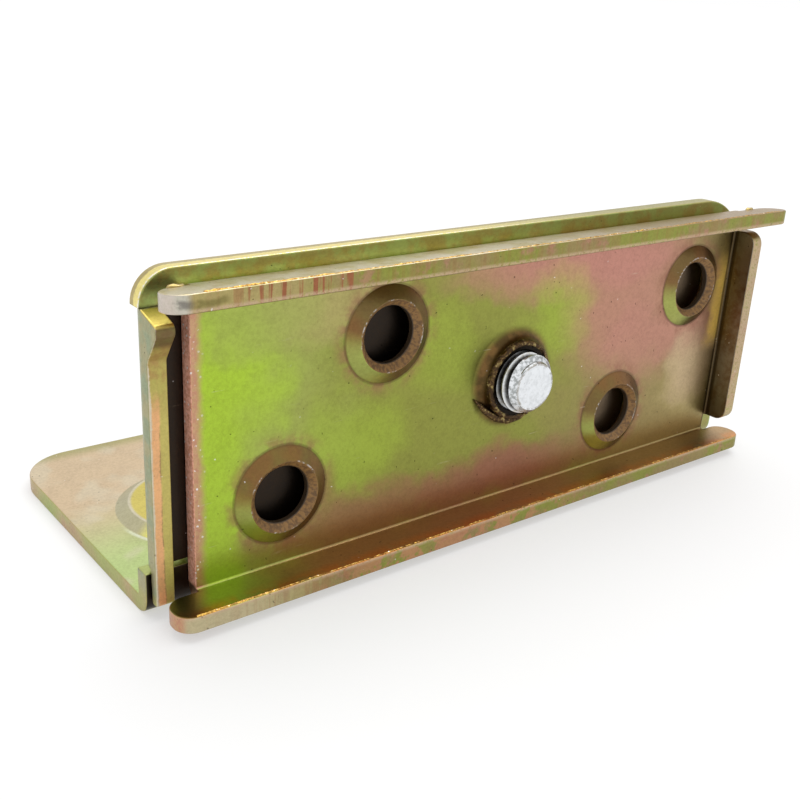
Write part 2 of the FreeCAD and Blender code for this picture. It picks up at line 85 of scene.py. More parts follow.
def colour(label, description, red, green, blue):
    return FloatVectorProperty(name=label, description=description, default=tint(red, green, blue),
                               subtype="COLOR", size=3, min=0.0, max=1.0)


class FastenerSizes(bpy.types.PropertyGroup):
    """Places on the solids that the finishes follow, and sizes of the fine forms."""

    sheet: length("Sheet", "Thickness of the post plate", 2.0)
    flange_depth: length("Flange depth", "Long flanges in front of the plate's face", 5.1)
    tongue_left: length("Left tongues", "Long flanges past the sheared edge", 4.3)
    plate_length: length("Plate length", "Sheared edge to the end flange's outer side", 91.5)
    screw_far: length("Outer screws", "Outer screw holes from the bolt, along the plate", 34.9)
    screw_far_row: length("Outer screw row", "Outer screw holes from the bolt, up and down", 7.8)
    screw_near: length("Inner screws", "Inner screw holes from the bolt, along the plate", 20.6)
    screw_near_row: length("Inner screw row", "Inner screw holes from the bolt, up and down", 9.05)
    dimple_radius: length("Dimple", "Radius where a dimple leaves the plate", 6.0)
    mouth_radius: length("Dimple mouth", "Radius of a dimple's crest", 4.4)
    hole_radius: length("Screw hole", "Radius of a screw hole", 3.5)
    collar_radius: length("Collar", "Outer radius of the drawn collar", 5.3)
    collar_raise: length("Collar height", "Collar's rim in front of the plate's face", 1.7)
    thread_pitch: length("Thread pitch", "Travel of the bolt in one turn", 1.25)
    thread_depth: length("Thread depth", "Crest to root of the bolt's thread", 0.72)
    point_radius: length("Bolt point", "Radius of the bolt's flat end", 3.1)
    pad_along: length("Pads along", "Raised pads from the bolt, along the plate", 34.8)
    pad_deep: length("Pads deep", "Raised pads behind the meeting plane", 18.0)
    pad_base: length("Pad base", "Radius where a pad leaves the ledge", 10.9)
    pad_top: length("Pad top", "Radius of a pad's flat top", 9.3)
    hook_round: length("Hook corner", "Hook's crown under the bracket's top", 3.8)
    plate_round: length("Plate edge", "Rounding of the post plate's sheared edges", 0.2)
    bracket_round: length("Bracket edge", "Rounding of the rail bracket's sheared edges", 0.2)
    burr_height: length("Burr height", "Ragged lip on sheared edges", 0.13)
    seed: IntProperty(name="Seed", description="Draw of the ragged edges", default=7, min=1)


class FastenerColours(bpy.types.PropertyGroup):
    """Tints of the finishes."""

    lime: colour("Lime", "Passivated zinc where it is greenest", 172, 202, 66)
    leaf: colour("Leaf", "Passivated zinc beside the greenest patch", 164, 174, 92)
    olive: colour("Olive", "Passivated zinc in the middle of the plate", 146, 150, 72)
    drab: colour("Drab", "Passivated zinc towards the end flange", 156, 140, 92)
    rose: colour("Rose", "Passivated zinc where it turns pink", 192, 136, 122)
    clay: colour("Clay", "Darker pink near the bottom flange", 156, 104, 88)
    tan: colour("Tan", "Thin yellow film", 182, 166, 112)
    gold: colour("Gold", "Bright burrs", 214, 170, 84)
    # Bronze: duller burrs, and also painted shade on faces that look down.
    bronze: colour("Bronze", "Undersides and duller burrs", 138, 106, 58)
    brass: colour("Brass", "Inner side of the bottom flange", 176, 144, 100)
    smoke: colour("Smoke", "Inner side of the end flange", 146, 138, 122)
    # Umber: darker mottling and a dark seam on the hook's edge, and painted shade in creases, bends, corners
    # and on the hook's nose.
    umber: colour("Umber", "Creases and dark corners", 74, 56, 38)
    pale: colour("Pale", "Thin passivation on the bracket", 214, 204, 178)
    mint: colour("Mint", "Greenish film on the ledge", 184, 202, 134)
    blush: colour("Blush", "Pinkish film on the ledge", 212, 184, 154)
    bright: colour("Bright zinc", "Bolt", 234, 237, 240)
    # Steel: painted darker reflection on the bolt's chamfer, and greyer mottling on its flat end.
    steel: colour("Steel", "Chamfer of the bolt", 168, 172, 172)
    # Grime and shade: dirt specks, and painted shade in the thread, towards the collar, in the collar's bore
    # and on the torn rim's inner edge.
    grime_and_shade: colour("Grime", "Dirt in the thread and round the bolt", 24, 21, 17)
    end_strip: colour("End strip", "Golden strip beside the end flange", 226, 188, 92)
    end_streaks: colour("End streaks", "Browner streaks inside the end flange", 122, 100, 74)
    end_corner: colour("End corner", "Shaded bend of the end flange", 56, 54, 36)
    fringe_dark: colour("Dark fringe", "Flecks beside the sheared edge", 194, 144, 118)
    fringe_light: colour("Light fringe", "Lighter flecks beside the sheared edge", 206, 166, 128)
    shear_light: colour("Light shear", "Grains of the plate's sheared edge", 252, 190, 164)
    shear_dark: colour("Dark shear", "Darker grains of the plate's sheared edge", 228, 156, 126)
    flange_glow: colour("Flange glow", "Front of the bottom flange's inner side", 222, 138, 66)
    edge_patches: colour("Edge patches", "Patches on the bottom flange's front edge", 196, 140, 108)
    shear_marks: colour("Shear marks", "Upright marks on the front edges", 160, 100, 72)
    tongue_silver: colour("Tongue silver", "Bare end of the top tongue", 206, 205, 196)
    # Tongue blotch and band: painted dark reflection across the top tongue.
    tongue_blotch: colour("Tongue blotch", "Dark blotch on the top tongue", 84, 78, 80)
    tongue_band: colour("Tongue band", "Dark band beside the top tongue", 124, 116, 66)
    top_straw: colour("Top straw", "Upper side of the top flange", 202, 188, 138)
    # Flank tints: painted shade on the sides of a dimple that face up and right.
    flank_green: colour("Green flank", "Shaded side of a dimple", 116, 98, 58)
    flank_brown: colour("Brown flank", "Browner side of a dimple", 128, 92, 56)
    seat_light: colour("Light seat", "Hatching in a dimple's mouth", 150, 112, 62)
    seat_dark: colour("Dark seat", "Darker hatching in a dimple's mouth", 112, 82, 48)
    # Hole wall: painted shade inside a screw hole.
    hole_wall: colour("Hole wall", "Wall of a screw hole", 66, 52, 36)
    collar_dark: colour("Dark collar", "Film on the collar", 80, 60, 38)
    collar_light: colour("Light collar", "Lighter film on the collar", 120, 88, 54)
    torn_light: colour("Torn rim", "Lighter flecks of the torn rim", 120, 94, 58)
    # Pad slope, glint and rim: painted shade and a painted glint on a pad's slope, and a painted highlight
    # line round its foot.
    pad_slope: colour("Pad slope", "Slope round a raised pad", 186, 180, 146)
    pad_glint: colour("Pad glint", "Slope of a pad towards the post", 255, 250, 104)
    pad_rim: colour("Pad rim", "Bright line round the foot of a pad", 232, 236, 214)
    pad_edge: colour("Pad edge", "Edge of a pad's flat top", 206, 198, 172)
    pad_face: colour("Pad face", "Flat top of a pad", 208, 192, 98)
    upright_green: colour("Green upright", "Upright above the top flange", 152, 168, 98)
    upright_brown: colour("Brown upright", "Browner film above the top flange", 158, 152, 88)
    # Hidden tints: painted shade behind the plate and inside the hook, lighter behind the plate's right half
    # where light comes through the screw holes.
    hidden_left: colour("Hidden left", "Upright behind the plate, and inside the hook", 48, 42, 37)
    hidden_right: colour("Hidden right", "Upright behind the plate's right half", 120, 104, 84)
    cut_bright: colour("Bright cut", "Sheared half of the upright's cut edge", 238, 222, 140)
    # Right cut: painted shade on the cut edge under the plate's top flange.
    cut_right: colour("Right cut", "Right part of the upright's cut edge", 158, 152, 92)
    hook_brown: colour("Brown hook", "Upper part of the hook's front edge", 176, 146, 84)
    hook_yellow: colour("Yellow hook", "Yellower upper part of the hook's front edge", 190, 180, 96)
    hook_pink: colour("Pink hook", "Outer half of the hook's front edge", 238, 182, 128)
    hook_lime: colour("Lime hook", "Inner half of the hook's front edge", 200, 186, 104)
    hook_stone: colour("Stone hook", "Outer side of the hook", 164, 158, 118)
    hook_sage: colour("Sage hook", "Greener outer side of the hook", 148, 158, 124)
    # Hook crown: painted highlight on the hook's upward-facing top.
    hook_crown: colour("Hook crown", "Sloping top of the hook", 226, 204, 110)


class FastenerStage(bpy.types.PropertyGroup):
    """Camera, floor and light."""

    eye: FloatVectorProperty(name="Eye", description="Place of the camera", subtype="TRANSLATION", size=3,
                             precision=5, default=(-0.09084, -0.11172, 0.06646))
    gaze: FloatVectorProperty(name="Gaze", description="Direction that the camera looks in",
                              subtype="DIRECTION", size=3, precision=5, default=(0.5792, 0.7286, -0.3656))
    upward: FloatVectorProperty(name="Upward", description="Direction of the picture's upper edge",
                                subtype="DIRECTION", size=3, precision=5, default=(0.186, 0.3186, 0.9295))
    lens: FloatProperty(name="Lens", description="Focal length of the camera in millimetres", default=47.258)
    floor_size: FloatProperty(name="Floor", description="Side of the floor", default=60.0, unit="LENGTH")
    floor: colour("Floor colour", "Plain pale floor", 250, 250, 250)
    floor_glow: FloatProperty(name="Floor glow", default=0.5, min=0.0, max=1.0,
                              description="Share of plain white in what is seen of the floor")
    daylight: FloatProperty(name="Daylight", description="Strength of the even light", default=0.8, min=0.0)
    softbox: FloatProperty(name="Soft box", description="Strength of the wide lamp overhead", default=1.25,
                           min=0.0)
    softbox_from: FloatVectorProperty(name="Soft box from", description="Direction towards the wide lamp",
                                      subtype="DIRECTION", size=3, default=(0.3, 0.12, 1.0))
    softbox_width: FloatProperty(name="Soft box width", description="Angle that the wide lamp fills",
                                 default=math.radians(55), subtype="ANGLE")


class Wire:
    """One output of a node tree; arithmetic on it adds Math nodes."""

    def __init__(self, shade, socket):
        self.shade = shade
        self.socket = socket

    def maths(self, operation, *values):
        return self.shade.node("Math", {"operation": operation}, *values)

    def __add__(self, other):
        return self.maths("ADD", self, other)

    def __radd__(self, other):
        return self.maths("ADD", other, self)

    def __sub__(self, other):
        return self.maths("SUBTRACT", self, other)

    def __rsub__(self, other):
        return self.maths("SUBTRACT", other, self)

    def __mul__(self, other):
        return self.maths("MULTIPLY", self, other)

    def __rmul__(self, other):
        return self.maths("MULTIPLY", other, self)

    def __truediv__(self, other):
        return self.maths("DIVIDE", self, other)

    def __rtruediv__(self, other):
        return self.maths("DIVIDE", other, self)

    def __pow__(self, other):
        return self.maths("POWER", self, other)

    def __rpow__(self, other):
        return self.maths("POWER", other, self)

    def __abs__(self):
        return self.maths("ABSOLUTE", self)

    def either(self, other):
        return self.maths("MAXIMUM", self, other)

    def step(self, start, end):
        """0 before start and 1 past end, smooth between; start may be the larger."""
        return self.shade.node("MapRange", {"interpolation_type": "SMOOTHSTEP"}, self, start, end, 0.0, 1.0)

    def within(self, low, high, soft):
        """1 between two values, with soft ends."""
        return self.step(low - soft, low + soft) * self.step(high + soft, high - soft)


class Shade:
    """A node tree that grows by expressions."""

    def __init__(self, tree):
        self.tree = tree

    def node(self, kind, settings, *values, output=0, **named):
        """Any node: its settings first, then its sockets in order or by name."""
        made = self.tree.nodes.new("ShaderNode" + kind)
        for name, value in settings.items():
            setattr(made, name, value)
        sockets = [socket for socket in made.inputs if socket.enabled]
        pairs = list(zip(sockets, values)) + [(made.inputs[name], value) for name, value in named.items()]
        for socket, value in pairs:
            self.feed(socket, value)
        if isinstance(output, int):
            return Wire(self, [socket for socket in made.outputs if socket.enabled][output])
        return Wire(self, made.outputs[output])

    def feed(self, socket, value):
        if isinstance(value, Wire):
            self.tree.links.new(value.socket, socket)
        elif socket.type == "RGBA":
            socket.default_value = (*value, 1.0)
        else:
            socket.default_value = value

    def seen_directly(self):
        """1 for what the camera sees, straight or mirrored in metal."""
        straight = self.node("LightPath", {}, output="Is Camera Ray")
        mirrored = self.node("LightPath", {}, output="Is Glossy Ray")
        return straight.either(mirrored)


class Finish(Shade):
    """A material with its shader, in millimetres of the object's own frame."""

    def __init__(self, name):
        self.material = bpy.data.materials.new(name)
        self.material.use_nodes = True
        super().__init__(self.material.node_tree)
        self.shader = self.tree.nodes["Principled BSDF"]
        place = self.node("TexCoord", {}, output="Object")
        self.point = self.node("VectorMath", {"operation": "SCALE"}, place, Scale=1 / MM)
        self.x, self.y, self.z = self.parts(self.point)
        self.nx, self.ny, self.nz = self.parts(self.node("TexCoord", {}, output="Normal"))

    def set(self, **values):
        """Feeds the shader's own sockets."""
        for name, value in values.items():
            self.feed(self.shader.inputs[name.replace("_", " ")], value)

    def parts(self, vector):
        made = self.node("SeparateXYZ", {}, vector).socket.node
        return [Wire(self, socket) for socket in made.outputs]

    def vector(self, x, y, z):
        return self.node("CombineXYZ", {}, x, y, z)

    def mix(self, factor, first, second):
        return self.node("Mix", {"data_type": "RGBA"}, factor, first, second)

    def blend(self, pattern, first, second, start=0.4, end=0.6):
        """Two tints that take turns as a noise says."""
        return self.mix(pattern.step(start, end), first, second)

    def lay(self, share, tone):
        """Lays a tint over the film."""
        self.film = self.mix(share, self.film, tone)

    def noise(self, scale, detail=3.0, rough=0.55, at=None):
        return self.node("TexNoise", {}, Vector=at or self.point, Scale=scale, Detail=detail, Roughness=rough)

    def stretched(self, along_x, along_y, along_z, detail=2.0):
        at = self.vector(self.x * along_x, self.y * along_y, self.z * along_z)
        return self.noise(1.0, detail, 0.6, at)

    def specks(self, scale, size, at):
        """1 in small scattered grains and 0 elsewhere."""
        cells = self.node("TexVoronoi", {}, Vector=at, Scale=scale, Randomness=1.0, output="Distance")
        return cells.step(size, size * 0.6)

    def bump(self, height, strength, distance):
        return self.node("Bump", {}, Height=height, Strength=strength, Distance=distance * MM)

    def from_bolt(self):
        """Distance from the bolt's axis."""
        return ((self.x - BOLT_AXIS.x / MM) ** 2.0 + (self.z - BOLT_AXIS.z / MM) ** 2.0) ** 0.5


class Zinc(Finish):
    """Yellow passivated zinc: tints laid over each other, with dirt, scratches and grain on top."""

    # How far a normal leans to a side before a face begins to count as facing it, and until it fully does.
    lean = (0.55, 0.85)

    def __init__(self, name, shift, sizes, palette):
        super().__init__(name)
        self.sizes = sizes
        self.palette = palette
        moved = self.vector(self.x + shift, self.y, self.z)
        self.wander = self.noise(0.12, 2.0, 0.6, moved)
        self.cloud = self.noise(0.35, 4.0, 0.62, moved)
        self.fine = self.noise(2.6, 3.0, 0.6, moved)
        self.x_bent = self.x + (self.wander - 0.5) * 12.0 + (self.cloud - 0.5) * 2.0
        self.z_bent = self.z - (self.wander - 0.5) * 7.0 + (self.cloud - 0.5) * 3.5
        self.front = self.facing(self.ny, -1)
        self.up = self.facing(self.nz, 1)
        self.left = self.facing(self.nx, -1)

    def facing(self, normal, sign):
        """1 on faces that look along an axis, or against it where the sign is -1."""
        start, full = self.lean
        return normal.step(sign * start, sign * full)

    def oval(self, x, z, half_x, half_z):
        """A soft patch about a place on the upright faces."""
        across = (self.x_bent - x) / half_x
        up = (self.z_bent - z) / half_z
        return (across * across + up * up).step(2.4, 0.0)

    def complete(self, rough, shorn):
        """Adds mottling, specks, nicks, scratches and grain over the film; shorn faces are duller."""
        ragged = self.vector(self.x + self.fine * 0.5, self.y, self.z + self.cloud * 2.0)
        dirt_and_shade = self.specks(0.8, 0.1, ragged) * self.wander.step(0.42, 0.6)
        nicks = self.specks(0.5, 0.06, ragged) * self.cloud.step(0.46, 0.6)
        scratches = self.stretched(0.1, 1.0, 2.2).step(0.68, 0.76) * self.cloud.step(0.48, 0.62)
        grit = self.noise(7.0, 3.0, 0.65)
        shade = (self.fine - 0.5) * 0.42 + (self.cloud - 0.5) * 0.3 + (grit - 0.5) * 0.35 + 0.07
        self.lay(shade, self.palette.umber)
        self.lay(scratches * 0.25, self.palette.pale)
        self.lay(dirt_and_shade * 0.7, self.palette.grime_and_shade)
        self.lay(nicks * 0.5, WHITE)
        self.set(Base_Color=self.film, Metallic=1.0 - shorn * 0.85)
        self.set(Roughness=rough + (self.fine - 0.5) * 0.2 + dirt_and_shade * 0.2 + shorn * 0.15)
        grain = grit * 0.7 + self.cloud * 2.2 - scratches * 0.5 - dirt_and_shade * 0.6 + nicks * 0.4
        self.set(Normal=self.bump(grain, 0.3, 0.06))


class PlateZinc(Zinc):
    """The post plate's finish, from the face to the collar."""

    # Soft patches of film on the face: tint, middle in x and z, half width, half height, and strength.
    patches = (
        ("lime", -42.5, 26.0, 7.0, 11.0, 1.0),
        ("lime", -43.5, 10.0, 5.0, 9.0, 0.9),
        ("tan", -28.0, 35.0, 9.0, 4.5, 0.7),
        ("lime", -25.5, 15.5, 7.0, 5.5, 0.4),
        ("lime", -12.0, 26.0, 5.0, 4.5, 0.25),
        ("rose", 12.0, 34.5, 18.0, 4.0, 0.95),
        ("rose", 22.0, 27.0, 10.0, 9.0, 0.8),
        ("rose", 25.0, 20.0, 6.0, 5.0, 0.5),
        ("lime", 8.5, 27.5, 5.5, 5.0, 0.35),
        ("clay", 2.0, 6.0, 14.0, 3.6, 0.9),
        ("clay", -22.0, 6.0, 12.0, 3.2, 0.7),
        ("rose", 37.0, 20.5, 7.5, 3.6, 0.7),
        ("tan", 39.0, 13.5, 6.0, 5.0, 0.8),
        ("blush", 38.0, 15.0, 5.0, 5.0, 0.6),
        ("leaf", -38.0, 33.5, 6.0, 4.0, 0.7),
        ("drab", 16.0, 11.0, 9.0, 6.0, 0.5),
    )
    # Stretches of x in which one tint gives way to the next.
    leaf_to_olive = (-38.0, -20.0)
    olive_to_drab = (4.0, 28.0)
    strip_start = (42.0, 44.5)
    brass_to_leaf = (-30.0, -42.0)
    edge_to_tan = (-26.0, -40.0)
    edge_to_pale = (-30.0, -44.0)
    top_to_bronze = (-16.0, 30.0)
    # Start, end and soft ends of bands: the golden strip in z, patches and shear marks on the edges in x.
    strip_height = (19.0, 31.0, 3.0)
    patches_along = (-30.0, 6.0, 8.0)
    marks_along = (-42.0, -27.0, 3.0)
    # Heights that part the lower half of the plate and the upper side of the top flange from the rest.
    lower_half = (20.0, 19.0)
    upper_side = (30.0, 34.0)
    # End flange: x in which its inner side begins.
    end_flange = (38.0, 40.0)

    def __init__(self, sizes, palette):
        super().__init__("plate_zinc", 3.0, sizes, palette)
        self.face_y = (PLATE_LOW.y + sizes.flange_depth) / MM
        self.sheared_x = (PLATE_LOW.x + sizes.tongue_left) / MM
        self.end_x = self.sheared_x + (sizes.plate_length - sizes.sheet) / MM
        self.low_edge = (PLATE_LOW.z + sizes.sheet) / MM
        self.high_edge = (PLATE_HIGH.z - sizes.sheet) / MM
        self.edge = self.y.step(self.face_y - 3.2, self.face_y - 3.5) * self.front
        self.face()
        self.flanges()
        self.end()
        self.front_edges()
        self.tongue()
        self.top()
        self.sheared_edge()
        self.dimples()
        self.collar()
        self.complete(0.35 + self.edge * 0.1, self.sheared.either(self.mouth).either(self.strip * 0.7))

    def face(self):
        """Lime at the sheared edge, then olive, and rose towards the end flange."""
        palette = self.palette
        self.film = self.mix(self.x_bent.step(*self.leaf_to_olive), palette.leaf, palette.olive)
        self.lay(self.x_bent.step(*self.olive_to_drab), palette.drab)
        for name, x, z, half_x, half_z, share in self.patches:
            self.lay(self.oval(x, z, half_x, half_z) * share, getattr(palette, name))
        beside_end = (self.x + self.cloud * 4.0).step(*self.strip_start)
        self.strip = beside_end * self.z_bent.within(*self.strip_height) * self.front
        self.lay(self.strip, palette.end_strip)
        self.fringe = (self.x - self.cloud * 1.4).step(self.sheared_x + 1.0, self.sheared_x - 0.3)
        self.lay(self.fringe, self.blend(self.fine, palette.fringe_dark, palette.fringe_light))

    def flanges(self):
        """Brassy inner side of the bottom flange, greener at the left, with painted shade in its left corner;
        bronze painted shade on undersides.
        """
        palette = self.palette
        inner = self.up * self.z.step(self.low_edge + 3.0, self.low_edge + 2.0)
        self.lay(inner, self.mix(self.x_bent.step(*self.brass_to_leaf), palette.brass, palette.leaf))
        glow = inner * self.y.step(self.face_y - 2.6, self.face_y - 4.8) * self.cloud.step(0.3, 0.6)
        self.lay(glow * 0.7, palette.flange_glow)
        # Painted shade in the corner at the left end of the bottom flange's inner side.
        self.lay(inner * self.x.step(self.sheared_x + 0.5, self.sheared_x - 2.5) * 0.7, palette.umber)
        # Painted shade on faces that look down.
        self.lay(self.facing(self.nz, -1) * 0.7, palette.bronze)

    def end(self):
        """Smoky inner side of the end flange, with painted shade along its bend and towards its corner."""
        palette = self.palette
        inner = self.left * self.x.step(*self.end_flange)
        self.lay(inner, self.blend(self.cloud, palette.smoke, palette.end_streaks, 0.4, 0.7))
        # Painted shade along the end flange's bend, and darker towards its corner.
        bend_x = self.x.within(self.end_x - 0.6, self.end_x + 0.2, 0.15)
        bend_y = self.y.within(self.face_y - 0.8, self.face_y + 0.1, 0.15)
        self.lay(bend_x * bend_y * 0.85, palette.umber)
        self.lay(inner * self.y.step(self.face_y - 3.4, self.face_y - 0.6) * 0.55, palette.end_corner)

    def front_edges(self):
        """Front edges of the flanges: tan at the left, then rose and olive with upright shear marks."""
        palette = self.palette
        tone = self.blend(self.wander, palette.drab, palette.olive)
        tone = self.mix(self.cloud.step(0.52, 0.68) * 0.6, tone, palette.rose)
        tone = self.mix(self.x.step(*self.edge_to_tan) * 0.9, tone, palette.tan)
        low_side = self.z.step(*self.lower_half)
        spread = self.noise(0.5, 3.0, 0.6).step(0.44, 0.52) * low_side * self.x.within(*self.patches_along)
        tone = self.mix(spread * 0.75, tone, palette.edge_patches)
        tone = self.mix(low_side * self.x.step(*self.edge_to_pale) * 0.5, tone, palette.pale)
        marks = self.stretched(1.7, 0.3, 0.08, 3.0).step(0.46, 0.6)
        marks = marks * (0.2 + self.x.within(*self.marks_along) * 0.75) * (1.0 - low_side * 0.7)
        tone = self.mix(marks, tone, palette.shear_marks)
        rims = self.z.within(self.low_edge - 0.35, self.high_edge + 0.45, 0.2)
        tone = self.mix(rims * self.fine.step(0.3, 0.55) * 0.7, tone, palette.blush)
        self.lay(self.edge, tone)

    def tongue(self):
        """Silver end of the top tongue, with a painted dark reflection across it: a blotch on the tongue and
        a band on the edge beside it.
        """
        palette = self.palette
        silver = self.x.step(self.sheared_x - 1.9, self.sheared_x - 2.9)
        self.lay(silver * self.z.step(self.high_edge - 2.0, self.high_edge) * 0.75, palette.tongue_silver)
        # Painted dark reflection: the blotch and the band.
        belly = (self.z + (self.cloud - 0.5)).within(self.high_edge + 0.55, self.high_edge + 1.3, 0.25)
        along = self.x + self.fine
        blotch = along.within(self.sheared_x - 3.0, self.sheared_x - 1.6, 0.4) * belly
        self.lay(blotch * 0.6, palette.tongue_blotch)
        band = along.within(self.sheared_x - 1.4, self.sheared_x + 2.2, 0.6) * belly * self.edge
        self.lay(band * 0.7, palette.tongue_band)

    def top(self):
        """Upper side of the top flange, browner towards the right."""
        palette = self.palette
        tone = self.blend(self.cloud, palette.pale, palette.top_straw, 0.4, 0.65)
        tone = self.mix(self.x.step(*self.top_to_bronze) * 0.8, tone, palette.bronze)
        self.lay(self.up * self.z.step(*self.upper_side), tone)

    def sheared_edge(self):
        """Salmon sheared edge at the left, with white glints."""
        palette = self.palette
        mid_height = self.z.within(self.low_edge + 0.2, self.high_edge - 0.2, 0.2)
        self.sheared = self.left * self.x.step(self.sheared_x + 2.0, self.sheared_x + 1.0) * mid_height
        self.lay(self.sheared, self.blend(self.fine, palette.shear_light, palette.shear_dark))
        glints = self.specks(1.4, 0.24, self.point) * self.fine.step(0.42, 0.56)
        self.lay(glints * self.fringe.either(self.sheared) * mid_height * 0.85, WHITE)

    def from_screws(self):
        """Distance to the nearest screw hole's axis; half a turn about the bolt lays four holes on two."""
        sizes = self.sizes
        off_bolt = self.x - BOLT_AXIS.x / MM
        side = off_bolt.maths("SIGN", off_bolt)
        along = off_bolt * side
        row = (self.z - BOLT_AXIS.z / MM) * side
        outer = row.maths("GREATER_THAN", row, 0.0)
        far, far_row = sizes.screw_far / MM, sizes.screw_far_row / MM
        near, near_row = sizes.screw_near / MM, -sizes.screw_near_row / MM
        off_along = along - (near + outer * (far - near))
        off_row = row - (near_row + outer * (far_row - near_row))
        return (off_along * off_along + off_row * off_row) ** 0.5

    def dimples(self):
        """Bronze cones with painted shade where they face up and right and in the crease at their foot, a
        rose halo, brown mouths with a painted glint on the crest, and painted shade in the holes.
        """
        palette = self.palette
        ring = self.from_screws()
        base_r = self.sizes.dimple_radius / MM
        mouth_r = self.sizes.mouth_radius / MM
        hole_r = self.sizes.hole_radius / MM
        on_face = self.y.within(self.face_y - 1.3, self.face_y + 2.2, 0.1)
        halo = ring.step(base_r + 2.2, base_r) * self.cloud.step(0.38, 0.6)
        self.lay(halo * on_face * 0.6, palette.clay)
        # Painted light and shade on the cone: the flank tints where it faces up and right, leaf where it
        # faces down and left.
        flank = self.blend(self.wander, palette.flank_green, palette.flank_brown, 0.42, 0.6)
        flank = self.mix((self.nx + self.nz).step(-0.36, -0.74), flank, palette.leaf)
        self.lay(ring.step(base_r + 0.1, base_r - 0.1) * on_face * 0.9, flank)
        # Painted shade in the crease at the foot of a dimple.
        crease = ring.within(base_r - 0.1, base_r + 0.25, 0.12) * on_face
        self.lay(crease * 0.45, palette.umber)
        hatch = self.stretched(2.4, 0.4, 2.4, 2.0)
        self.mouth = ring.step(mouth_r + 0.05, mouth_r - 0.1) * on_face
        self.lay(self.mouth, self.blend(hatch, palette.seat_light, palette.seat_dark, 0.4, 0.62))
        # Painted glint along a dimple's crest.
        crest = ring.within(mouth_r - 0.08, mouth_r + 0.1, 0.05) * on_face * self.fine.step(0.45, 0.6)
        self.lay(crest * self.cloud.step(0.5, 0.6) * 0.5, WHITE)
        # Painted shade on the wall of a screw hole.
        self.lay(ring.step(hole_r + 0.12, hole_r + 0.04), palette.hole_wall)

    def collar(self):
        """Brown on the collar, darkening to painted shade in its bore round the bolt."""
        palette = self.palette
        reach = self.from_bolt()
        collar_r = self.sizes.collar_radius / MM
        in_front = self.y.step(self.face_y + 1.0, self.face_y + 0.5)
        collar_brown = reach.step(collar_r + 2.0, collar_r + 0.6) * in_front
        self.lay(collar_brown * 0.95, self.blend(self.cloud, palette.collar_dark, palette.collar_light, 0.4, 0.65))
        # Painted shade in the collar's bore round the bolt.
        self.lay(reach.step(collar_r - 0.45, collar_r - 0.7), palette.grime_and_shade)


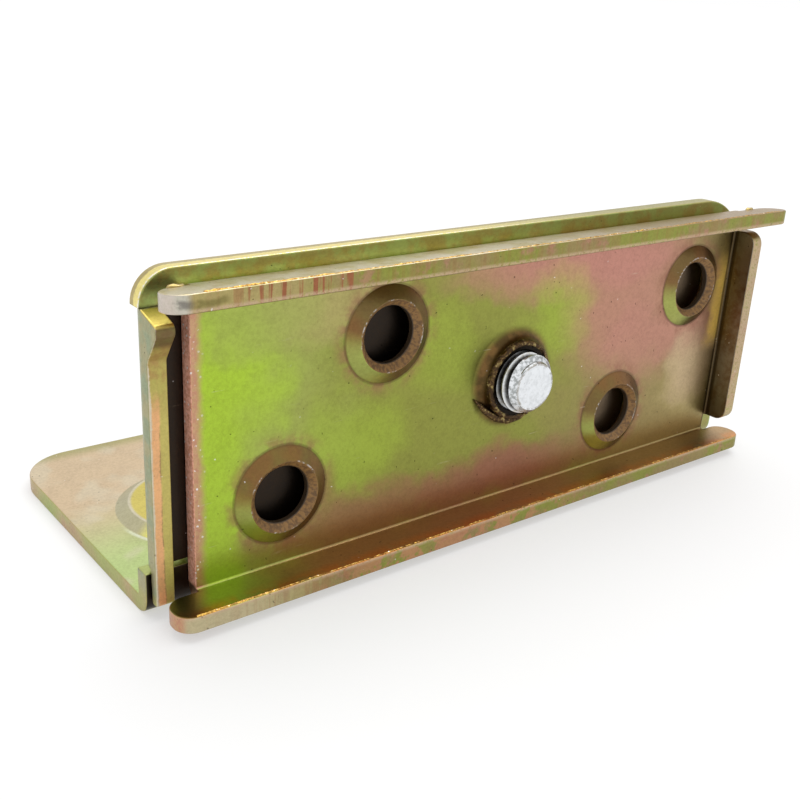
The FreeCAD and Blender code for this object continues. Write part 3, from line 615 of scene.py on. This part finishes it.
class BracketZinc(Zinc):
    """The rail bracket's finish, from the ledge to the hook."""

    # Stretches of y on the ledge and of x on the upright, in which one tint gives way to the next.
    mint_to_blush = (-10.0, 9.0)
    far_side = (21.5, 24.5)
    hidden_end = (44.5, 43.5)
    hidden_lighter = (2.0, 16.0)
    cut_darker = (-20.0, 25.0)
    lip_end = (20.0, -20.0)
    # Heights of the ledge's top, of the hook's striped part and of its lower end.
    ledge_height = (6.0, 5.0)
    striped_height = (32.0, 26.0)
    hook_foot = (2.5, 4.0)

    def __init__(self, sizes, palette):
        super().__init__("bracket_zinc", 41.0, sizes, palette)
        self.left_x = BRACKET_LOW.x / MM
        self.crown_z = BRACKET_HIGH.z / MM - sizes.hook_round / MM
        slow = self.wander + (self.cloud - 0.5) * 0.12
        self.film = self.blend(slow, palette.leaf, palette.tan, 0.3, 0.6)
        self.lay(slow.step(0.5, 0.75) * 0.7, palette.rose)
        self.hook = self.y.step(MEET_Y - 0.2, MEET_Y - 0.5)
        self.ledge()
        self.upright()
        self.hook_edge()
        self.hook_sides()
        self.complete(0.36, self.hook * self.front * 0.5)

    def ledge(self):
        """Thin pastel film, pinkish at the far side and green near the hook, with pads that carry a painted
        highlight line round their foot and painted light and shade on their slopes.
        """
        palette = self.palette
        tone = self.mix(self.y.step(*self.mint_to_blush) * 0.9, palette.mint, palette.blush)
        tone = self.mix(self.wander.step(0.48, 0.6) * 0.5, tone, palette.pale)
        tone = self.mix(self.y.step(*self.far_side) * 0.6, tone, palette.olive)
        side = abs(self.x - BOLT_AXIS.x / MM) - self.sizes.pad_along / MM
        deep = self.y - (MEET_Y + self.sizes.pad_deep / MM)
        reach = (side * side + deep * deep) ** 0.5
        base_r = self.sizes.pad_base / MM
        top_r = self.sizes.pad_top / MM
        # Painted highlight line round the foot of a pad.
        rim = reach.within(base_r - 0.1, base_r + 0.5, 0.25) * deep.step(0.0, -4.0)
        tone = self.mix(rim * 0.8, tone, palette.pad_rim)
        # Painted light and shade on the pad's slope: a glint where it faces the post, shade elsewhere.
        slope = self.mix(self.ny.step(-0.12, -0.32), palette.pad_slope, palette.pad_glint)
        tone = self.mix(reach.step(base_r + 0.1, base_r - 0.1), tone, slope)
        tone = self.mix(reach.step(top_r + 0.1, top_r - 0.1), tone, palette.pad_edge)
        tone = self.mix(reach.step(top_r - 0.15, top_r - 0.6), tone, palette.pad_face)
        self.lay(self.up * self.z.step(*self.ledge_height), tone)

    def upright(self):
        """Olive above the top flange, painted shade where the plate hides it, cut edge in two strips with
        painted shade at its right and painted glints on its lip.
        """
        palette = self.palette
        self.lay(self.front, self.blend(self.cloud, palette.upright_green, palette.upright_brown))
        # Painted shade behind the plate, lighter behind its right half where light comes through the screw
        # holes.
        hidden = self.front * self.z.step(self.crown_z + 0.4, self.crown_z - 0.2)
        dirt_and_shade = self.mix(self.x.step(*self.hidden_lighter), palette.hidden_left, palette.hidden_right)
        self.lay(hidden * self.x.step(*self.hidden_end), dirt_and_shade)
        torn = self.y + (self.fine - 0.5) * 0.35
        tone = self.mix(torn.step(MEET_Y + 1.15, MEET_Y + 1.4), palette.cut_bright, palette.tan)
        # Painted shade on the right part of the cut edge, under the plate's top flange.
        tone = self.mix(self.x.step(*self.cut_darker) * 0.9, tone, palette.cut_right)
        # Painted glints on the cut edge's lip.
        lip = torn.step(MEET_Y + 0.45, MEET_Y + 0.2) * self.fine.step(0.4, 0.55)
        tone = self.mix(lip * self.x.step(*self.lip_end) * 0.7, tone, WHITE)
        self.lay(abs(self.ny).step(0.7, 0.4) * self.z.step(self.crown_z - 0.1, self.crown_z + 0.1), tone)

    def hook_edge(self):
        """Pinkish and yellow-green halves of the hook's front edge, with a dark seam."""
        palette = self.palette
        across = self.x - self.left_x + (self.fine - 0.5) * 0.25 + (self.wander - 0.5) * 0.9
        halves = self.mix(across.step(1.4, 1.7), palette.hook_pink, palette.hook_lime)
        seam = across.within(1.48, 1.6, 0.08) * self.cloud.step(0.42, 0.58)
        halves = self.mix(seam * 0.5, halves, palette.umber)
        plain = self.blend(self.cloud, palette.hook_brown, palette.hook_yellow)
        tone = self.mix((self.z + self.cloud * 6.0).step(*self.striped_height), plain, halves)
        tone = self.mix(across.step(0.8, 0.62), tone, palette.pale)
        self.lay(self.hook * self.ny.step(-0.3, -0.6), tone)

    def hook_sides(self):
        """Grey-green outside, a painted shadow on the nose, painted shade inside, and a painted yellow
        highlight on the crown.
        """
        palette = self.palette
        beside = self.z.step(*self.hook_foot) * self.z.step(self.crown_z + 0.1, self.crown_z - 0.1)
        self.lay(self.left * beside, self.blend(self.cloud, palette.hook_stone, palette.hook_sage, 0.42, 0.6))
        # Painted shadow of the plate's top flange on the hook's nose.
        nose = self.hook * self.front * self.z.within(self.crown_z - 3.4, self.crown_z - 0.6, 0.5)
        self.lay(nose * 0.7, palette.umber)
        # Painted highlight on the hook's crown, where it faces up.
        self.lay(self.hook * self.nz.step(0.4, 0.7), palette.hook_crown)
        # Painted shade inside the hook, between it and the plate.
        inside = self.facing(self.nx, 1) * self.x.step(self.left_x + 6.0, self.left_x + 5.0)
        self.lay(inside, palette.hidden_left)


class BoltZinc(Finish):
    """Bright zinc of the bolt: a smooth end, a mottled chamfer with a painted darker reflection, and painted
    shade in the thread and towards the collar.
    """

    # Normals that part the flat end from the chamfer, and the chamfer from the rest.
    flat_normal = (-0.96, -0.99)
    slant_normal = (-0.96, -0.88)
    # Painted shade lies below the thread's crests, which stand this far outside the flat end.
    crest_out = 0.85

    def __init__(self, sizes, palette):
        super().__init__("bright_zinc")
        reach = self.from_bolt()
        end_y = BOLT_LOW.y / MM
        point_r = sizes.point_radius / MM
        crest = point_r + self.crest_out
        spots = self.noise(1.5, 4.0, 0.65)
        pits = self.specks(1.4, 0.16, self.point)
        self.film = self.mix(spots.step(0.45, 0.65) * 0.4, palette.bright, palette.tan)
        # The steel mottle on the chamfer is a painted darker reflection.
        slant = self.ny.step(*self.slant_normal) * self.y.step(end_y + 1.3, end_y + 0.9)
        self.lay(slant, self.blend(self.noise(2.2, 3.0), palette.steel, palette.bright, 0.38, 0.62))
        flat_end = self.mix(spots.step(0.4, 0.7) * 0.3, palette.bright, palette.steel)
        self.lay(self.ny.step(*self.flat_normal), flat_end)
        edge = reach.within(point_r - 0.22, point_r + 0.05, 0.08) * self.y.step(end_y + 0.3, end_y + 0.1)
        self.lay(edge * spots.step(0.4, 0.6) * 0.7, palette.smoke)
        # Painted shade in the thread's valleys, and darker towards the collar where the bolt goes into it.
        in_front = self.y.step(MEET_Y + 0.2, MEET_Y - 0.2)
        valley = reach.step(crest, crest - 0.4) * self.y.step(end_y + 0.7, end_y + 1.0) * in_front
        self.lay(valley * (0.6 + spots * 0.6), palette.grime_and_shade)
        self.lay(self.y.step(end_y + 2.0, end_y + 3.4) * in_front * 0.6, palette.grime_and_shade)
        self.lay(pits * 0.2, palette.smoke)
        self.set(Base_Color=self.film, Metallic=1.0)
        self.set(Roughness=0.26 + spots * 0.22)
        grain = spots * 0.8 + self.noise(6.0, 3.0) * 0.4 - pits * 0.5
        self.set(Normal=self.bump(grain, 0.25, 0.05))


class TornSteel(Finish):
    """The torn collar rim: brown with light flecks, and painted shade towards the bolt."""

    # Distance from the bolt's axis at which the painted shade begins, and where it is full.
    shade_reach = (4.85, 4.6)

    def __init__(self, palette):
        super().__init__("torn_steel")
        fleck = self.noise(1.7, 4.0, 0.7)
        self.film = self.blend(fleck, palette.umber, palette.torn_light, 0.44, 0.58)
        self.lay(fleck.step(0.54, 0.64), palette.tan)
        self.lay(self.from_bolt().step(*self.shade_reach), palette.grime_and_shade)
        self.set(Base_Color=self.film, Metallic=0.8)
        self.set(Roughness=0.5 + fleck * 0.25)
        self.set(Normal=self.bump(self.noise(4.0, 4.0, 0.7), 0.5, 0.1))


class BurrGold(Finish):
    """The burrs: golden with white glints along the edges, tan in the notches."""

    def __init__(self, palette):
        super().__init__("bright_burr")
        front_y = PLATE_LOW.y / MM
        fleck = self.noise(3.0, 3.0, 0.7)
        self.film = self.blend(fleck, palette.bronze, palette.gold, 0.42, 0.6)
        self.lay(fleck.step(0.62, 0.7), WHITE)
        self.lay(self.y.step(front_y + 1.0, front_y + 2.0) * 0.8, palette.tan)
        self.set(Base_Color=self.film, Metallic=1.0)
        self.set(Roughness=0.24 + fleck * 0.15)


def piece_from(maker, name, body, finish, smooth_below):
    """Closes a bmesh into a piece that rides on a body; edges that turn by more degrees stay sharp."""
    bmesh.ops.remove_doubles(maker, verts=maker.verts, dist=MERGE_FINE)
    bmesh.ops.recalc_face_normals(maker, faces=maker.faces)
    mesh = bpy.data.meshes.new(name)
    maker.to_mesh(mesh)
    maker.free()
    taken_over = mesh.attributes.get("custom_normal")
    if taken_over:
        mesh.attributes.remove(taken_over)
    mesh.materials.append(finish.material)
    piece = bpy.data.objects.new(name, mesh)
    bpy.context.scene.collection.objects.link(piece)
    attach(piece, body)
    for polygon in mesh.polygons:
        polygon.use_smooth = True
    mesh.set_sharp_from_angle(angle=math.radians(smooth_below))
    return piece


def swept(maker, places, widths, sides):
    """A closed bar drawn along places, as wide at each as its width says."""
    heading = places[1] - places[0]
    facing = heading.to_track_quat("Z", "Y")
    start = Matrix.Translation(places[0]) @ facing.to_matrix().to_4x4()
    circle = bmesh.ops.create_circle(maker, cap_ends=True, segments=sides, radius=widths[0], matrix=start)
    face = circle["verts"][0].link_faces[0]
    for index in range(1, len(places)):
        made = bmesh.ops.extrude_face_region(maker, geom=[face])["geom"]
        if index > 1:
            bmesh.ops.delete(maker, geom=[face], context="FACES_ONLY")
        face = [item for item in made if isinstance(item, bmesh.types.BMFace)][0]
        fresh = [item for item in made if isinstance(item, bmesh.types.BMVert)]
        onward = places[index] - places[index - 1]
        turn = heading.rotation_difference(onward).to_matrix()
        bmesh.ops.rotate(maker, verts=fresh, cent=places[index - 1], matrix=turn)
        bmesh.ops.translate(maker, verts=fresh, vec=onward)
        share = widths[index] / widths[index - 1]
        bmesh.ops.scale(maker, verts=fresh, vec=(share, share, share),
                        space=Matrix.Translation(-places[index]))
        heading = onward


class Stamping:
    """What the operators of both stampings share: a copy of the solid with rounded sheared edges."""

    flat_below = math.radians(0.2)
    smooth_below = 27
    segments = 4

    def rounded_sheet(self, node, name, finish, edge_round):
        maker = bmesh.new()
        maker.from_mesh(frame["nodes"][node].data)
        bmesh.ops.remove_doubles(maker, verts=maker.verts, dist=MERGE)
        bmesh.ops.dissolve_limit(maker, angle_limit=self.flat_below, verts=maker.verts, edges=maker.edges)
        sheared = [edge for edge in maker.edges if self.is_sheared(edge)]
        bmesh.ops.bevel(maker, geom=sheared, offset=edge_round, offset_type="OFFSET", affect="EDGES",
                        segments=self.segments, profile=0.5, material=-1, clamp_overlap=False)
        piece = piece_from(maker, name, node, finish, self.smooth_below)
        even = piece.modifiers.new("even_shading", "WEIGHTED_NORMAL")
        even.keep_sharp = True
        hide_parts(node)

    def is_sheared(self, edge):
        return edge.is_convex and edge.calc_face_angle(0.0) > math.radians(self.sheared_above)


class FASTENER_OT_post_plate(Stamping, bpy.types.Operator):
    """Round the post plate's sheared edges and finish it"""

    bl_idname = "fastener.post_plate"
    bl_label = "Post plate"

    # The crests and seats of the screw holes turn by fewer degrees than a cut edge does.
    sheared_above = 50

    def execute(self, context):
        sizes = context.scene.fastener_sizes
        finish = PlateZinc(sizes, context.scene.fastener_colours)
        self.rounded_sheet("post_plate", "plate_sheet", finish, sizes.plate_round)
        return {"FINISHED"}


class FASTENER_OT_rail_bracket(Stamping, bpy.types.Operator):
    """Round the rail bracket's sheared edges and finish it"""

    bl_idname = "fastener.rail_bracket"
    bl_label = "Rail bracket"

    sheared_above = 35
    # The thin step at the crown: how near to its height, and how far in front of the meeting plane.
    step_height = 0.02 * MM
    step_depth = 0.4 * MM

    def execute(self, context):
        sizes = context.scene.fastener_sizes
        self.crown_z = BRACKET_HIGH.z - sizes.hook_round
        finish = BracketZinc(sizes, context.scene.fastener_colours)
        self.rounded_sheet("rail_bracket", "bracket_sheet", finish, sizes.bracket_round)
        return {"FINISHED"}

    def is_sheared(self, edge):
        """Leaves out the thin step where the hook's bend leaves the flat corner."""
        level = all(abs(vert.co.z - self.crown_z) < self.step_height for vert in edge.verts)
        behind = all(vert.co.y > BOLT_AXIS.y - self.step_depth for vert in edge.verts)
        return super().is_sheared(edge) and not (level and behind)


class FASTENER_OT_bolt(bpy.types.Operator):
    """Cut the bolt's thread and finish the bolt"""

    bl_idname = "fastener.bolt"
    bl_label = "Bolt"

    steps_per_turn = 48
    # One pitch of the thread: depth share below the crest, and share of the pitch.
    thread_outline = ((1.0, 0.0), (1.0, 0.12), (0.0, 0.46), (0.0, 0.62), (1.0, 0.96), (1.0, 1.0))
    # The thread starts this many pitches before the bolt's end, and is cut off there.
    run_in = 1.5
    # The head is wider than the shank by at least this share.
    head_wider = 1.2
    head_round = 0.12 * MM
    flat_below = math.radians(0.5)
    sharp_above = math.radians(25)
    smooth_below = 28

    def execute(self, context):
        sizes = context.scene.fastener_sizes
        solid = frame["nodes"]["bolt"].data
        wide = [(self.off_axis(vert.co), vert.co.y) for vert in solid.vertices]
        self.shank = max(reach for reach, y in wide if y < BOLT_AXIS.y)
        self.seat = min(y for reach, y in wide if reach > self.shank * self.head_wider)
        maker = bmesh.new()
        self.thread(maker, sizes)
        self.head(maker, solid)
        finish = BoltZinc(sizes, context.scene.fastener_colours)
        piece = piece_from(maker, "threaded_bolt", "bolt", finish, self.smooth_below)
        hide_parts("bolt")
        return {"FINISHED"}

    def off_axis(self, place):
        return math.hypot(place.x - BOLT_AXIS.x, place.z - BOLT_AXIS.z)

    def cut_off(self, maker, place, side):
        """Removes what lies past a plane across the bolt."""
        everything = maker.verts[:] + maker.edges[:] + maker.faces[:]
        bmesh.ops.bisect_plane(maker, geom=everything, plane_co=(0, place, 0), plane_no=(0, side, 0),
                               clear_outer=True)

    def close(self, maker):
        rims = [edge for edge in maker.edges if edge.is_boundary]
        bmesh.ops.holes_fill(maker, edges=rims, sides=0)

    def thread(self, maker, sizes):
        """One pitch of the thread's outline, screwed along the bolt, cut off at both ends and pointed."""
        pitch = sizes.thread_pitch
        front = BOLT_LOW.y
        turns = math.ceil((self.seat - front) / pitch) + 2
        verts = []
        for depth, share in self.thread_outline:
            radius = self.shank - sizes.thread_depth * depth
            place = (BOLT_AXIS.x + radius, front - pitch * (self.run_in - share), BOLT_AXIS.z)
            verts.append(maker.verts.new(place))
        edges = [maker.edges.new(pair) for pair in zip(verts, verts[1:])]
        bmesh.ops.spin(maker, geom=verts + edges, cent=BOLT_AXIS, axis=(0, 1, 0), angle=turns * math.tau,
                       steps=turns * self.steps_per_turn, use_merge=False, use_duplicate=False,
                       dvec=Vector((0, pitch / self.steps_per_turn, 0)))
        bmesh.ops.remove_doubles(maker, verts=maker.verts, dist=MERGE)
        self.cut_off(maker, front, -1)
        self.cut_off(maker, self.seat, 1)
        for vert in maker.verts:
            out = Vector((vert.co.x - BOLT_AXIS.x, 0, vert.co.z - BOLT_AXIS.z))
            limit = sizes.point_radius + (vert.co.y - front)
            if out.length > limit:
                vert.co -= out.normalized() * (out.length - limit)
        self.close(maker)

    def head(self, maker, solid):
        """The hexagon head, taken over from the solid and rounded along its edges."""
        head = bmesh.new()
        head.from_mesh(solid)
        bmesh.ops.remove_doubles(head, verts=head.verts, dist=MERGE)
        self.cut_off(head, self.seat, -1)
        self.close(head)
        bmesh.ops.dissolve_limit(head, angle_limit=self.flat_below, verts=head.verts, edges=head.edges)
        sharp = [edge for edge in head.edges if edge.calc_face_angle(0.0) > self.sharp_above]
        bmesh.ops.bevel(head, geom=sharp, offset=self.head_round, offset_type="OFFSET", affect="EDGES",
                        segments=2, profile=0.5, material=-1, clamp_overlap=True)
        mesh = bpy.data.meshes.new("head")
        head.to_mesh(mesh)
        head.free()
        maker.from_mesh(mesh)
        bpy.data.meshes.remove(mesh)


class FASTENER_OT_collar_rim(bpy.types.Operator):
    """Tear the rim of the drawn collar"""

    bl_idname = "fastener.collar_rim"
    bl_label = "Torn collar rim"

    # Millimetres from the collar's outer radius and behind its rim.
    rim_outline = ((-0.75, 0.3), (-0.68, 0.0), (-0.45, -0.16), (-0.2, -0.1), (0.0, 0.12), (0.05, 0.5),
                   (-0.1, 0.8))
    # The sliver on the rim: degrees round the bolt, millimetres from it and behind the rim, and width.
    sliver = ((-62, 5.1, 0.3, 0.3), (-85, 5.35, 0.35, 0.42), (-105, 5.6, 0.5, 0.5), (-125, 5.8, 0.75, 0.52),
              (-142, 6.05, 1.05, 0.42), (-155, 6.35, 1.3, 0.26), (-163, 6.7, 1.45, 0.06))
    steps = 120
    sliver_sides = 7
    # Size of the tears and how far they move the metal.
    tears = 0.55 * MM
    ragged = 0.16 * MM
    smooth_below = 45

    def execute(self, context):
        sizes = context.scene.fastener_sizes
        noise.seed_set(sizes.seed)
        rim_y = PLATE_LOW.y + sizes.flange_depth - sizes.collar_raise
        maker = bmesh.new()
        self.rim(maker, sizes.collar_radius, rim_y)
        self.hang_sliver(maker, rim_y)
        for vert in maker.verts:
            vert.co += noise.noise_vector(vert.co / self.tears) * self.ragged
        finish = TornSteel(context.scene.fastener_colours)
        piece_from(maker, "torn_collar_rim", "post_plate", finish, self.smooth_below)
        return {"FINISHED"}

    def rim(self, maker, collar_radius, rim_y):
        verts = []
        for out, behind in self.rim_outline:
            radius = collar_radius + out * MM
            verts.append(maker.verts.new((BOLT_AXIS.x + radius, rim_y + behind * MM, BOLT_AXIS.z)))
        edges = [maker.edges.new(pair) for pair in zip(verts, verts[1:] + verts[:1])]
        bmesh.ops.spin(maker, geom=verts + edges, cent=BOLT_AXIS, axis=(0, 1, 0), angle=math.tau,
                       steps=self.steps, use_merge=True, use_duplicate=False, dvec=Vector((0, 0, 0)))
        bmesh.ops.remove_doubles(maker, verts=maker.verts, dist=MERGE)

    def hang_sliver(self, maker, rim_y):
        places = []
        widths = []
        for degrees, radius, behind, width in self.sliver:
            turn = math.radians(degrees)
            offset = Vector((radius * math.cos(turn), 0, radius * math.sin(turn))) * MM
            places.append(Vector((BOLT_AXIS.x, rim_y + behind * MM, BOLT_AXIS.z)) + offset)
            widths.append(width * MM)
        swept(maker, places, widths, self.sliver_sides)


class FASTENER_OT_edge_burrs(bpy.types.Operator):
    """Raise the bright burrs along the flanges' front edges and in the notches"""

    bl_idname = "fastener.edge_burrs"
    bl_label = "Edge burrs"

    # Start and end of the burrs on the lower and upper flange.
    runs = ((-47.6, 45.6), (-46.0, 47.5))
    steps = 360
    sides = 5
    # The burr's place behind the front edge and under the corner, and how much of its height lifts it.
    behind = 0.3 * MM
    sunk = 0.12 * MM
    lift = 0.6
    # Slow swelling of the height: middle, swing and waves per millimetre, with a draw on top.
    swell = (0.6, 0.9, 0.45)
    height_draw = 0.35
    # Thickness in burr heights, which grows left of a place by so much per millimetre, with a draw on top.
    thick = 0.9
    thicker_left_of = -30.0
    thicker_by = 0.04
    thickness_draw = 0.25
    # Notch burrs: x, millimetres in front of the meeting plane and under the flange's top, and half length.
    nubs = ((-46.9, 2.5, 0.5, 1.0), (46.2, 2.5, 0.5, 0.8))
    # Half depth and half height of a notch burr, size of its tears and how far they move the metal.
    nub_form = (0.35, 0.3)
    nub_tears = 0.4 * MM
    nub_ragged = 0.16
    smooth_below = 40

    def execute(self, context):
        sizes = context.scene.fastener_sizes
        draw = random.Random(sizes.seed)
        noise.seed_set(sizes.seed)
        maker = bmesh.new()
        heights = (PLATE_LOW.z + sizes.sheet, PLATE_HIGH.z)
        for (start, end), height in zip(self.runs, heights):
            self.edge(maker, draw, start, end, height, sizes.burr_height)
        for nub in self.nubs:
            self.nub(maker, *nub)
        finish = BurrGold(context.scene.fastener_colours)
        piece_from(maker, "edge_burrs", "post_plate", finish, self.smooth_below)
        return {"FINISHED"}

    def edge(self, maker, draw, start, end, height, burr):
        middle, swing, waves = self.swell
        places = []
        widths = []
        for step in range(self.steps + 1):
            along = start + (end - start) * step / self.steps
            swell = middle + swing * noise.noise(Vector((along * waves, height / MM, 0.0)))
            rise = burr * (swell + draw.uniform(-self.height_draw, self.height_draw))
            top = height - self.sunk + rise * self.lift
            places.append(Vector((along * MM, PLATE_LOW.y + self.behind, top)))
            thick = self.thick + max(0.0, self.thicker_left_of - along) * self.thicker_by
            widths.append(burr * (thick + draw.uniform(-self.thickness_draw, self.thickness_draw)))
        swept(maker, places, widths, self.sides)

    def nub(self, maker, x, forward, drop, half):
        middle = Vector((x * MM, BOLT_AXIS.y - forward * MM, PLATE_HIGH.z - drop * MM))
        form = Matrix.Translation(middle) @ Matrix.Diagonal((half, *self.nub_form, 1.0))
        made = bmesh.ops.create_icosphere(maker, subdivisions=3, radius=MM, matrix=form)
        for vert in made["verts"]:
            vert.co += noise.noise_vector(vert.co / self.nub_tears) * self.nub_ragged * MM


class FASTENER_OT_stage(bpy.types.Operator):
    """Lay the floor, hang the lamp and set up the camera"""

    bl_idname = "fastener.stage"
    bl_label = "Stage"

    floor_rough = 0.9
    # Width of the camera's picture in millimetres, and its nearest sight in metres.
    sensor_width = 36.0
    clip_start = 0.005

    def execute(self, context):
        stage = context.scene.fastener_stage
        self.floor(context, stage)
        self.light(context, stage)
        self.camera(context, stage)
        context.scene.view_settings.view_transform = "Standard"
        return {"FINISHED"}

    def floor(self, context, stage):
        maker = bmesh.new()
        bmesh.ops.create_grid(maker, x_segments=1, y_segments=1, size=stage.floor_size / 2)
        mesh = bpy.data.meshes.new("floor")
        maker.to_mesh(mesh)
        maker.free()
        finish = Finish("floor_white")
        finish.set(Base_Color=stage.floor, Roughness=self.floor_rough)
        glow = finish.node("Emission", {}, WHITE, 1.0)
        seen = finish.seen_directly() * stage.floor_glow
        blend = finish.node("MixShader", {}, seen, Wire(finish, finish.shader.outputs[0]), glow)
        finish.feed(finish.tree.nodes["Material Output"].inputs["Surface"], blend)
        mesh.materials.append(finish.material)
        floor = bpy.data.objects.new("floor", mesh)
        context.scene.collection.objects.link(floor)

    def light(self, context, stage):
        world = bpy.data.worlds.new("even_light")
        world.use_nodes = True
        context.scene.world = world
        sky = Shade(world.node_tree)
        backdrop = world.node_tree.nodes["Background"]
        sky.feed(backdrop.inputs["Color"], WHITE)
        sky.feed(backdrop.inputs["Strength"], stage.daylight + sky.seen_directly() * (1 - stage.daylight))
        lamp = bpy.data.lights.new("soft_box", "SUN")
        lamp.energy = stage.softbox
        lamp.angle = stage.softbox_width
        holder = bpy.data.objects.new("soft_box", lamp)
        holder.rotation_mode = "QUATERNION"
        holder.rotation_quaternion = (-Vector(stage.softbox_from)).to_track_quat("-Z", "Y")
        context.scene.collection.objects.link(holder)

    def camera(self, context, stage):
        data = bpy.data.cameras.new("camera")
        data.sensor_width = self.sensor_width
        data.lens = stage.lens
        data.clip_start = self.clip_start
        camera = bpy.data.objects.new("camera", data)
        back = -Vector(stage.gaze).normalized()
        across = Vector(stage.upward).cross(back).normalized()
        up = back.cross(across)
        turn = Matrix((across, up, back)).transposed()
        camera.matrix_world = Matrix.Translation(Vector(stage.eye)) @ turn.to_4x4()
        context.scene.collection.objects.link(camera)
        context.scene.camera = camera


OPERATORS = (
    FASTENER_OT_post_plate,
    FASTENER_OT_rail_bracket,
    FASTENER_OT_bolt,
    FASTENER_OT_collar_rim,
    FASTENER_OT_edge_burrs,
    FASTENER_OT_stage,
)
GROUPS = {
    "fastener_sizes": FastenerSizes,
    "fastener_colours": FastenerColours,
    "fastener_stage": FastenerStage,
}


class FASTENER_PT_sidebar(bpy.types.Panel):
    """Pieces and settings of the fastener"""

    bl_label = "Bed rail fastener"
    bl_idname = "FASTENER_PT_sidebar"
    bl_space_type = "VIEW_3D"
    bl_region_type = "UI"
    bl_category = "Fastener"

    def draw(self, context):
        for operator in OPERATORS:
            self.layout.operator(operator.bl_idname)
        for group_name, group in GROUPS.items():
            box = self.layout.box()
            for name in group.__annotations__:
                box.prop(getattr(context.scene, group_name), name)


def register():
    for kind in (*GROUPS.values(), *OPERATORS, FASTENER_PT_sidebar):
        bpy.utils.register_class(kind)
    for name, kind in GROUPS.items():
        setattr(bpy.types.Scene, name, PointerProperty(type=kind))


def unregister():
    for name in GROUPS:
        delattr(bpy.types.Scene, name)
    for kind in (FASTENER_PT_sidebar, *reversed(OPERATORS), *GROUPS.values()):
        bpy.utils.unregister_class(kind)


def main():
    register()
    bpy.ops.fastener.post_plate()
    bpy.ops.fastener.rail_bracket()
    bpy.ops.fastener.bolt()
    bpy.ops.fastener.collar_rim()
    bpy.ops.fastener.edge_burrs()
    bpy.ops.fastener.stage()


if __name__ == "__main__":
    main()
